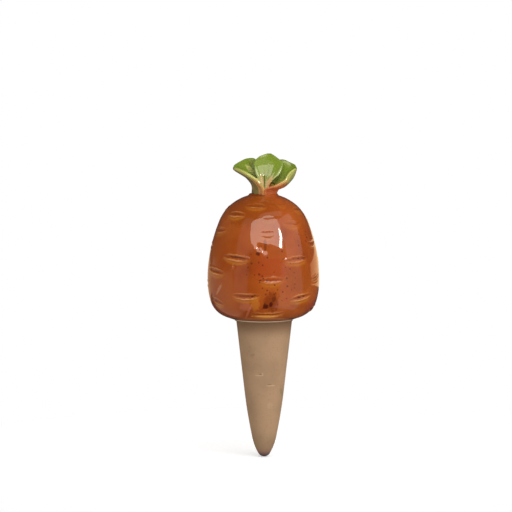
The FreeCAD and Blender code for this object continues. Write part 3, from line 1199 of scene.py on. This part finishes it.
# Directions are azimuth from the camera side towards +X and elevation, spans are angles, all in
# degrees, and lengths are millimetres. The lamp lights the object evenly, the cards are only what its
# glaze mirrors. A card may fade over a share of its half width and half height.
studio = {
    "target": (0, 0, 35),
    "lamp": {"at": (31, 30), "span": (60, 50), "distance": 900, "radiance": 2.15},
    "worldLevel": 0.62,
    "roomLevel": 0.04,
    "roomSize": 3000,
    "cardDistance": 1000,
    "cards": {
        "softbox": {"at": (8.5, 41), "span": (70, 34), "light": (4.3, 3.7, 3.3), "arch": 0.75},
        "ceiling": {"at": (35, 65), "span": (54, 17), "light": (0.9, 0.75, 0.65), "soft": (0.25, 0.25)},
        "rightStrip": {"at": (73, 28.5), "span": (48, 44), "light": (1.1, 0.95, 0.9), "soft": (0.2, 0.12)},
        "rightLow": {"at": (61, -23), "span": (62, 68), "light": (0.4, 0.5, 0.6), "soft": (0.3, 0.15)},
        "leftStrip": {"at": (-48, -5), "span": (35, 114), "light": (0.45, 0.4, 0.4), "soft": (0.35, 0.1)},
        "leftVeil": {"at": (-100, -32), "span": (82, 72), "light": (0.5, 0.37, 0.3), "soft": (0.2, 0.2)},
        "window": {"at": (42, 26.5), "span": (4.4, 12.5), "light": (36, 33, 30), "tilt": 24},
        "rightWall": {"at": (144, -3), "span": (58, 10), "light": (1.3, 0.85, 0.45)},
        "leftWall": {"at": (-152, -7), "span": (44, 10), "light": (0.6, 0.38, 0.22)},
    },
    "archSteps": 16,
    "floorSize": 4000,
    "floorColour": (0.85, 0.85, 0.85, 1),
    "floorWhite": 0.38,
    "floorFade": (80, 200),
}
white = (1, 1, 1, 1)


def direction(azimuth, elevation):
    turn = radians(azimuth)
    lift = radians(elevation)
    return Vector((sin(turn) * cos(lift), -cos(turn) * cos(lift), sin(lift)))


def halfSpan(distance, angle):
    return distance * tan(radians(angle / 2))


def cardCorners(facts):
    # places on a card from -1 to 1 and its corners; it faces the target, tilted to the right, and its
    # top is arched by a share of its half height
    distance = studio["cardDistance"]
    away = direction(*facts["at"])
    arch = facts.get("arch", 0.0)
    middle = Vector(studio["target"]) + away * distance
    turn = radians(facts.get("tilt", 0))
    level = Vector((0, 0, 1)).cross(away).normalized()
    side = level * cos(turn) - away.cross(level) * sin(turn)
    up = away.cross(side)
    wide, high = (halfSpan(distance, angle) for angle in facts["span"])
    steps = studio["archSteps"]
    angles = [pi * k / steps for k in range(steps + 1)]
    places = [(-1, -1), (1, -1)] + [(cos(a), 1 - arch + arch * sin(a)) for a in angles]
    return places, [middle + side * wide * x + up * high * y for x, y in places]


def addLamp(facts):
    distance = facts["distance"] * mm
    lamp = bpy.data.lights.new("lamp", "AREA")
    lamp.shape = "RECTANGLE"
    lamp.size, lamp.size_y = (2 * halfSpan(distance, angle) for angle in facts["span"])
    lamp.energy = facts["radiance"] * pi * lamp.size * lamp.size_y
    made = bpy.data.objects.new("lamp", lamp)
    away = direction(*facts["at"])
    made.location = Vector(studio["target"]) * mm + away * distance
    made.rotation_euler = away.to_track_quat("Z", "Y").to_euler()
    made.visible_glossy = False
    bpy.context.scene.collection.objects.link(made)


def glowMaterial(name, light, soft=None):
    material, g = newMaterial(name)
    shader = g.shader("Emission", {"Color": (*light, 1), "Strength": 1.0})
    if soft:
        inwards = (1 - abs(attribute(g, note)) for note in ("across", "upwards"))
        sides, ends = (share.ramp(0, width) for share, width in zip(inwards, soft))
        clear = g.shader("BsdfTransparent")
        shader = g.shader("MixShader", {0: sides * ends, 1: clear, 2: shader})
    g.shader("OutputMaterial", {0: shader})
    return material


def onlyMirrored(made):
    for rays in ("camera", "diffuse", "transmission", "volume_scatter", "shadow"):
        setattr(made, "visible_" + rays, False)


def addCards():
    for name, facts in studio["cards"].items():
        places, corners = cardCorners(facts)
        points = [corner * mm for corner in corners]
        glow = glowMaterial(name, facts["light"], facts.get("soft"))
        card = meshObject(name, points, (), [range(len(points))], glow)
        for note, values in zip(("across", "upwards"), zip(*places)):
            noteOnPoints(card.data, note, values)
        onlyMirrored(card)
    half = studio["roomSize"] * mm / 2
    corners = [(x, y, z) for x in (-half, half) for y in (-half, half) for z in (-half, half)]
    sides = [(0, 1, 3, 2), (4, 6, 7, 5), (0, 4, 5, 1), (2, 3, 7, 6), (0, 2, 6, 4), (1, 5, 7, 3)]
    glow = glowMaterial("room", (studio["roomLevel"],) * 3)
    onlyMirrored(meshObject("room", corners, (), sides, glow))


def addFloor():
    # matt and pale near the object, white further out to what the camera sees
    material, g = newMaterial("floor")
    place = g.shader("NewGeometry", {}, {}, "Position")
    away = g.shader("VectorMath", {0: place}, {"operation": "LENGTH"}, 1)
    fade = (away / mm).ramp(*studio["floorFade"])
    seen = seenRays(g)
    matte = g.shader("BsdfDiffuse", {"Color": studio["floorColour"]})
    lift = g.shader("Emission", {"Color": white, "Strength": seen * studio["floorWhite"]})
    near = g.shader("AddShader", {0: matte, 1: lift})
    far = g.shader("Emission", {"Color": white, "Strength": 1.0})
    shader = g.shader("MixShader", {0: fade * seen, 1: near, 2: far})
    g.shader("OutputMaterial", {0: shader})
    half = studio["floorSize"] * mm / 2
    low = cadBox[0][2]
    corners = [(-half, -half, low), (half, -half, low), (half, half, low), (-half, half, low)]
    floor = meshObject("floor", corners, (), [(0, 1, 2, 3)], material)
    floor.visible_glossy = False
    floor.visible_diffuse = False


def seenRays(g):
    # 1 for what the camera sees, straight, mirrored or through
    names = ("Is Camera Ray", "Is Glossy Ray", "Is Transmission Ray")
    straight, mirrored, through = (g.shader("LightPath", {}, {}, name) for name in names)
    return straight.atLeast(mirrored).atLeast(through)


def addWorld():
    world = bpy.data.worlds.new("studio")
    bpy.context.scene.world = world
    world.use_nodes = True
    world.node_tree.nodes.clear()
    g = Graph(world.node_tree)
    seen = seenRays(g)
    level = seen + (1 - seen) * studio["worldLevel"]
    shader = g.shader("Background", {"Color": white, "Strength": level})
    g.shader("OutputWorld", {0: shader})


def addCamera():
    pitch = photo["millimetresPerPixel"]
    middle = photo["imageSize"] / 2
    lift = radians(photo["cameraElevation"])
    side = (middle - photo["axisColumn"]) * pitch
    height = (photo["soilRow"] - middle) * pitch / cos(lift)
    target = Vector((side, 0, height)) * mm
    distance = photo["cameraDistance"] * mm
    away = direction(0, photo["cameraElevation"])
    camera = bpy.data.cameras.new("camera")
    camera.sensor_width = photo["sensorWidth"]
    camera.lens = photo["sensorWidth"] * photo["cameraDistance"] / (photo["imageSize"] * pitch)
    made = bpy.data.objects.new("camera", camera)
    made.location = target + away * distance
    made.rotation_euler = away.to_track_quat("Z", "Y").to_euler()
    bpy.context.scene.collection.objects.link(made)
    bpy.context.scene.camera = made


materials = {"body": bodyMaterial(), "leaf": leafMaterial()}
pieces = [buildBody(materials), buildCrown(materials)]
for piece in pieces:
    piece.data.transform(Matrix.Scale(mm, 4))
    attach(piece, "root")
    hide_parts("stake")
print("pieces placed")

addFloor()
addWorld()
addLamp(studio["lamp"])
addCards()
addCamera()
bpy.context.scene.view_settings.view_transform = "Standard"
print("studio set")
